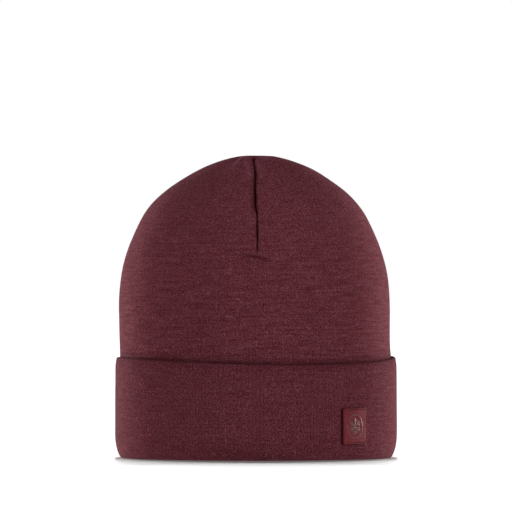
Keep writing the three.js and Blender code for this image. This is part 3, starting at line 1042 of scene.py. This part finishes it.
# %% Cloth map of the cuff
lengths = [0.0]
for a, b in zip(section, section[1:]):
    lengths.append(lengths[-1] + math.dist(a, b))
whole = lengths[-1] + math.dist(section[-1], section[0])
cuff_turns = [math.atan2(v.co.x, -v.co.y) for v in cuff.data.vertices]
uv = cuff.data.uv_layers.active or cuff.data.uv_layers.new(name="cloth")
uv.name = "cloth"
for face in cuff.data.polygons:
    x = sum(cuff.data.vertices[i].co.x for i in face.vertices)
    y = sum(cuff.data.vertices[i].co.y for i in face.vertices)
    centre = math.atan2(x, -y)
    rings = [i // COLUMNS for i in face.vertices]
    wraps = max(rings) - min(rings) > 1
    for corner in face.loop_indices:
        i = cuff.data.loops[corner].vertex_index
        aside = signed_turn(cuff_turns[i], centre)
        up = lengths[i // COLUMNS]
        if wraps and i // COLUMNS == 0:
            up = whole
        uv.data[corner].uv = (oval_length(centre + aside) / MAP_UNIT, -up / MAP_UNIT)
print(f"cloth map: {whole:.0f} mm round the cuff's section")

# %% [markdown]
# A cuff that was ironed dead level would look like a pipe. The real one sinks a little at the
# front and back, leans in to the crown at its edge and bulges softly, and at the front its
# fold doesn't quite touch the board. Its edge is rounded away under the crown, so painted
# shade is written on that rounding, in the attribute of painted shading, half as dark as the
# darkest.

# %% Soft shape of the cuff
CUFF_WAVES = [(38, 0.3), (13, 0.1)]     # size and amount of its slow waves
SOFT_FROM = (2, 20)     # heights between which the fold's foot goes over to the free wall
EDGE_LEAN = 0.7         # the edge leans in
LEAN_HEIGHT = 6         # over its last few millimetres
EDGE_SHADE = 0.45       # and painted shade on its rounding, under the crown
EDGE_SHADE_HEIGHT = 1.3
FRONT_LIFT = 0.95       # how far the fold is clear of the board at the front

painted_shading = cuff.data.attributes.new("painted_shading", "FLOAT", "POINT")
for i, v in enumerate(cuff.data.vertices):
    turn, height = cuff_turns[i], v.co.z / MM
    lift = step_between(height, ROUNDING_HEIGHT, HEIGHT)
    soft = step_between(height, *SOFT_FROM)
    below_edge = HEIGHT - height
    painted_shading.data[i].value = EDGE_SHADE * math.exp(-(below_edge / EDGE_SHADE_HEIGHT) ** 2)
    out = Vector((math.sin(turn), -math.cos(turn) * CUFF_A / CUFF_B, 0)).normalized()
    place = v.co.copy()
    push = soft * sum(waviness(place, size, amount) for size, amount in CUFF_WAVES)
    push -= EDGE_LEAN * step_between(height, HEIGHT - LEAN_HEIGHT, HEIGHT)
    v.co.z += (cuff_edge(turn) - HEIGHT) * lift * MM
    v.co.z += FRONT_LIFT * max(0.0, math.cos(turn)) * (1 - soft) * MM
    v.co += out * push * MM
cuff.data.update()
bpy.ops.object.shade_smooth()
cuff.data.materials.clear()
cuff.data.materials.append(cuff_jersey)
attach(cuff, "root")
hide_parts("cuff")
print("cuff shaped")

# %% [markdown]
# ## The patch
#
# The patch is a square of thin imitation hide, cut with a sharp die so that its edge shows
# darker than its face. The cut slants outwards, most of all on the left, so that it shows all
# round. The patch is sewn on close to its edge, and the thread pulls a shallow line into its
# face. It is modelled flat, as it is cut, and then laid on the cuff's face by one function
# that bends everything made flat: the patch, its stitches, and the ring with its sign.

# %% Patch sizes
PATCH_SIDE = 21.8
PATCH_THICKNESS = 1.4
PATCH_CORNER = 1.4
PATCH_STANDOFF = 0.3            # air between the patch and the cuff's face
PATCH_UP = (label_lo.z + label_hi.z) / 2 / MM
PATCH_TURN = math.radians(43.4)
BADGE_RADIUS = 7.1


def lay_on_cuff(piece):
    """Bends a flat piece onto the cuff. Flat, X runs across, Z up and -Y out of the face."""
    per_turn = 1000 * math.hypot(CUFF_A * math.cos(PATCH_TURN), CUFF_B * math.sin(PATCH_TURN))
    for v in piece.data.vertices:
        across, out, up = v.co.x / MM, -v.co.y / MM + PATCH_STANDOFF, v.co.z / MM
        turn = PATCH_TURN + across / per_turn
        v.co = ((CUFF_A + out * MM) * math.sin(turn),
                -(CUFF_B + out * MM) * math.cos(turn), (PATCH_UP + up) * MM)
    piece.data.update()


def select(pieces):
    """Selects just these pieces, and makes the first of them the active one."""
    bpy.ops.object.select_all(action="DESELECT")
    for piece in pieces:
        piece.select_set(True)
    bpy.context.view_layer.objects.active = pieces[0]


def settle(piece):
    """Puts a piece's place and turn into its mesh, and leaves it alone and selected."""
    select([piece])
    bpy.ops.object.transform_apply(location=True, rotation=True, scale=True)


def joined(pieces, name):
    """Joins pieces into the first of them."""
    select(pieces)
    bpy.ops.object.join()
    pieces[0].name = name
    return pieces[0]


print(f"patch {PATCH_SIDE} mm square, middle {PATCH_UP:.1f} mm up")

# %% Imitation hide
# Polyurethane on a woven back, embossed with a fine pebble: nearly matt, with soft clouds of
# a darker and a lighter wine red where it was handled.
PEBBLE = 0.7                    # millimetres
CLOUD = 4.0

hide, tree, skin = new_material("pressed_imitation_hide", roughness=0.75, gloss=0.12)
place = add(tree, "ShaderNodeTexCoord").outputs["Object"]
pores = add(tree, "ShaderNodeTexVoronoi", {"Vector": place, "Scale": 1000 / PEBBLE})
clouds = add(tree, "ShaderNodeTexNoise", {
    "Vector": place, "Scale": 1000 / CLOUD, "Detail": 4.0})
shade = add(tree, "ShaderNodeValToRGB", {"Fac": clouds.outputs["Fac"]})
dark, light = shade.color_ramp.elements
dark.position, dark.color = 0.3, linear("#571c22")
light.position, light.color = 0.7, linear("#68262d")
dents = add(tree, "ShaderNodeBump", {
    "Height": pores.outputs["Distance"], "Strength": 0.25, "Distance": 0.2 * MM})
tree.links.new(shade.outputs["Color"], skin.inputs["Base Color"])
tree.links.new(dents.outputs["Normal"], skin.inputs["Normal"])
print("hide ready")

# %% The patch's face
SQUARES = 44                    # of its mesh, along each side
bpy.ops.object.select_all(action="DESELECT")
bpy.ops.mesh.primitive_grid_add(x_subdivisions=SQUARES, y_subdivisions=SQUARES,
                                size=PATCH_SIDE * MM, rotation=(math.pi / 2, 0, 0))
patch = bpy.context.active_object
patch.name = "patch"
settle(patch)
half = PATCH_SIDE / 2 * MM
core = half - PATCH_CORNER * MM
for v in patch.data.vertices:
    x, z = abs(v.co.x) - core, abs(v.co.z) - core
    if x > 0 and z > 0:
        pull = max(x, z) / math.hypot(x, z)
        v.co.x = math.copysign(core + x * pull, v.co.x)
        v.co.z = math.copysign(core + z * pull, v.co.z)
thick = patch.modifiers.new("thickness", "SOLIDIFY")
thick.thickness = PATCH_THICKNESS * MM
thick.offset = 1
bpy.ops.object.modifier_apply(modifier=thick.name)
print("patch:", [round(1000 * d, 2) for d in patch.dimensions], "mm")

# %% Its rolled edge and its dark cut
PRESSED_EDGE = 0.22             # millimetres
rim = patch.modifiers.new("pressed edge", "BEVEL")
rim.width = PRESSED_EDGE * MM
rim.segments = 3
rim.limit_method = "ANGLE"
rim.angle_limit = math.radians(50)
bpy.ops.object.modifier_apply(modifier=rim.name)
# The cut shows the dark, fibrous back of the hide.
CUT_FIBRE = 0.5                 # millimetres
cut, tree, cut_skin = new_material("raw_cut_hide", roughness=0.9, gloss=0.05)
place = add(tree, "ShaderNodeTexCoord").outputs["Object"]
fibre = add(tree, "ShaderNodeTexNoise", {
    "Vector": place, "Scale": 1000 / CUT_FIBRE, "Detail": 2.0})
cut_shade = add(tree, "ShaderNodeValToRGB", {"Fac": fibre.outputs["Fac"]})
cut_shade.color_ramp.elements[0].color = linear("#2a080c")
cut_shade.color_ramp.elements[1].color = linear("#401218")
tree.links.new(cut_shade.outputs["Color"], cut_skin.inputs["Base Color"])
patch.data.materials.clear()
patch.data.materials.append(hide)
patch.data.materials.append(cut)
for face in patch.data.polygons:
    face.material_index = 1 if abs(face.normal.y) < 0.5 else 0
print("faces of the cut edge:", sum(f.material_index for f in patch.data.polygons))

# %% Slant the cut
FACE = -PATCH_THICKNESS * MM    # the patch's face in its flat place
SLANT_LEFT = 0.8 * MM
SLANT = 0.3 * MM                # on the three other sides
CUT_FROM = FACE + 0.2 * MM
BORDER = half - 2 * MM
for v in patch.data.vertices:
    flare = (SLANT_LEFT if v.co.x < 0 else SLANT) * step_between(v.co.y, CUT_FROM, 0)
    if max(abs(v.co.x), abs(v.co.z)) > BORDER:
        v.co.x += flare * v.co.x / half
        v.co.z += min(flare, SLANT) * v.co.z / half
patch.data.update()
print("with its slanted cut:", [round(1000 * d, 2) for d in patch.dimensions], "mm")

# %% Sew line pressed into the face
SEW_INSET = 0.8
SEW_DEPTH = 0.16                # how deep the thread pulls the face in
SEW_HALF_WIDTH = 0.45
EDGE_LIFT = 0.25                # how far the middle of the left edge stands up
STITCHES_A_SIDE = 12
sew = PATCH_SIDE / 2 - SEW_INSET
for v in patch.data.vertices:
    if v.co.y > FACE / 2:
        continue
    x, z = abs(v.co.x) / MM, abs(v.co.z) / MM
    off_line = abs(max(x, z) - sew)
    v.co.y += SEW_DEPTH * MM * math.exp(-(off_line / SEW_HALF_WIDTH) ** 2)
    lifted = EDGE_LIFT * math.exp(-((v.co.x / MM + PATCH_SIDE / 2) / 2.5) ** 2)
    v.co.y -= lifted * MM * (0.5 + 0.5 * math.cos(v.co.z / half * 2.0))
lay_on_cuff(patch)
bpy.ops.object.shade_smooth_by_angle(angle=math.radians(50))
print("patch laid on the cuff")

# %% Stitches
# Very dark wine red polyester, lightly waxed, so it is matt. Its twist is 0.4 mm long.
TWIST = 0.4
STITCH_WIDTH = 0.5              # millimetres, as high as it is wide
STITCH_SHARE = 0.6              # how much of its place along the line a stitch fills
STITCH_LEAN = 6                 # degrees
thread, tree, strand = new_material("waxed_polyester_thread", roughness=0.8, gloss=0.05)
place = add(tree, "ShaderNodeTexCoord").outputs["Object"]
twist = add(tree, "ShaderNodeTexNoise", {"Vector": place, "Scale": 1000 / TWIST})
twist_shade = add(tree, "ShaderNodeValToRGB", {"Fac": twist.outputs["Fac"]})
twist_shade.color_ramp.elements[0].color = linear("#120305")
twist_shade.color_ramp.elements[1].color = linear("#260a0e")
tree.links.new(twist_shade.outputs["Color"], strand.inputs["Base Color"])


def stitch(x, z, along_x):
    """One stitch: a short capsule sunk half into the sew line."""
    bpy.ops.mesh.primitive_uv_sphere_add(segments=8, ring_count=6, radius=0.5 * MM)
    one = bpy.context.active_object
    pitch = 2 * sew / STITCHES_A_SIDE
    length, width = STITCH_SHARE * pitch, STITCH_WIDTH
    one.scale = (length, width, width) if along_x else (width, width, length)
    one.location = (x * MM, FACE + 0.06 * MM, z * MM)
    one.rotation_euler = (0, math.radians(STITCH_LEAN if along_x else -STITCH_LEAN), 0)
    settle(one)
    return one


stitches = []
for k in range(STITCHES_A_SIDE):
    along = -sew + (k + 0.5) * 2 * sew / STITCHES_A_SIDE
    stitches += [stitch(along, sew, True), stitch(along, -sew, True)]
    stitches += [stitch(sew, along, False), stitch(-sew, along, False)]
sewing = joined(stitches, "patch_stitches")
lay_on_cuff(sewing)
sewing.data.materials.append(thread)
bpy.ops.object.shade_smooth()
print("stitches:", len(stitches))

# %% [markdown]
# The sign in the middle is a plain ring with a snow star in it: six rays, each with a pair of
# side twigs. It is pressed in a dull foil, so its raised ring catches a thin light. A ray and
# a twig are the same flat, pointed bar, which starts as a ball and is scaled.

# %% Foil
# Aluminium on a lacquer film, pressed on hot: half metal, half lacquer, rubbed in places.
RUB = 1.2                       # size of the rubbed places, in millimetres

foil, tree, film = new_material("dull_pressed_foil", roughness=0.42)
place = add(tree, "ShaderNodeTexCoord").outputs["Object"]
rub = add(tree, "ShaderNodeTexNoise", {"Vector": place, "Scale": 1000 / RUB, "Detail": 3.0})
rub_shade = add(tree, "ShaderNodeValToRGB", {"Fac": rub.outputs["Fac"]})
wear_and_highlight, fresh = rub_shade.color_ramp.elements
wear_and_highlight.position, wear_and_highlight.color = 0.35, linear("#412e2d")
fresh.position, fresh.color = 0.65, linear("#6b4f4d")
tree.links.new(rub_shade.outputs["Color"], film.inputs["Base Color"])
film.inputs["Metallic"].default_value = 0.6
print("foil ready")

# %% The ring
RING_THICKNESS = 0.48           # millimetres

bpy.ops.object.select_all(action="DESELECT")
bpy.ops.mesh.primitive_torus_add(major_radius=BADGE_RADIUS * MM,
                                 minor_radius=RING_THICKNESS / 2 * MM,
                                 major_segments=72, minor_segments=10,
                                 location=(0, FACE, 0), rotation=(math.pi / 2, 0, 0))
ring = bpy.context.active_object
settle(ring)
print(f"ring {2 * BADGE_RADIUS} mm wide")

# %% The snow star
RAY = {"from": 0.2, "length": 5.4, "width": 1.15}       # millimetres
TWIG = {"from": 2.5, "length": 2.3, "width": 0.8}
TWIG_LEAN = 48                  # degrees from its ray
TWIG_HEIGHT = 0.28
SIGN_SHARE = 0.95               # the sign is pressed a little narrow
SIGN_ASIDE = -0.75 * MM         # and off the patch's middle


def bar(ray_turn, lean, kind):
    """A flat, pointed bar on a ray of the star, leaning away from it. Angles in degrees."""
    bpy.ops.mesh.primitive_uv_sphere_add(segments=14, ring_count=10, radius=1 * MM)
    one = bpy.context.active_object
    ray, turn = math.radians(ray_turn), math.radians(ray_turn + lean)
    x = kind["from"] * math.sin(ray) + kind["length"] / 2 * math.sin(turn)
    z = kind["from"] * math.cos(ray) + kind["length"] / 2 * math.cos(turn)
    one.scale = (kind["width"] / 2, TWIG_HEIGHT, kind["length"] / 2)
    one.rotation_euler = (0, turn, 0)
    one.location = (x * MM, FACE, z * MM)
    settle(one)
    return one


sign = [ring]
for ray_turn in range(0, 360, 60):
    sign.append(bar(ray_turn, 0, RAY))
    for lean in (-TWIG_LEAN, TWIG_LEAN):
        sign.append(bar(ray_turn, lean, TWIG))
ring = joined(sign, "patch_sign")
for v in ring.data.vertices:
    v.co.x = SIGN_SHARE * v.co.x + SIGN_ASIDE
lay_on_cuff(ring)
ring.data.materials.clear()
ring.data.materials.append(foil)
bpy.ops.object.shade_smooth()
print("bars in the sign:", len(sign) - 1)

# %% Sew the patch on
for piece in (patch, sewing, ring):
    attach(piece, "root")
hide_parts("label")
print("patch finished")
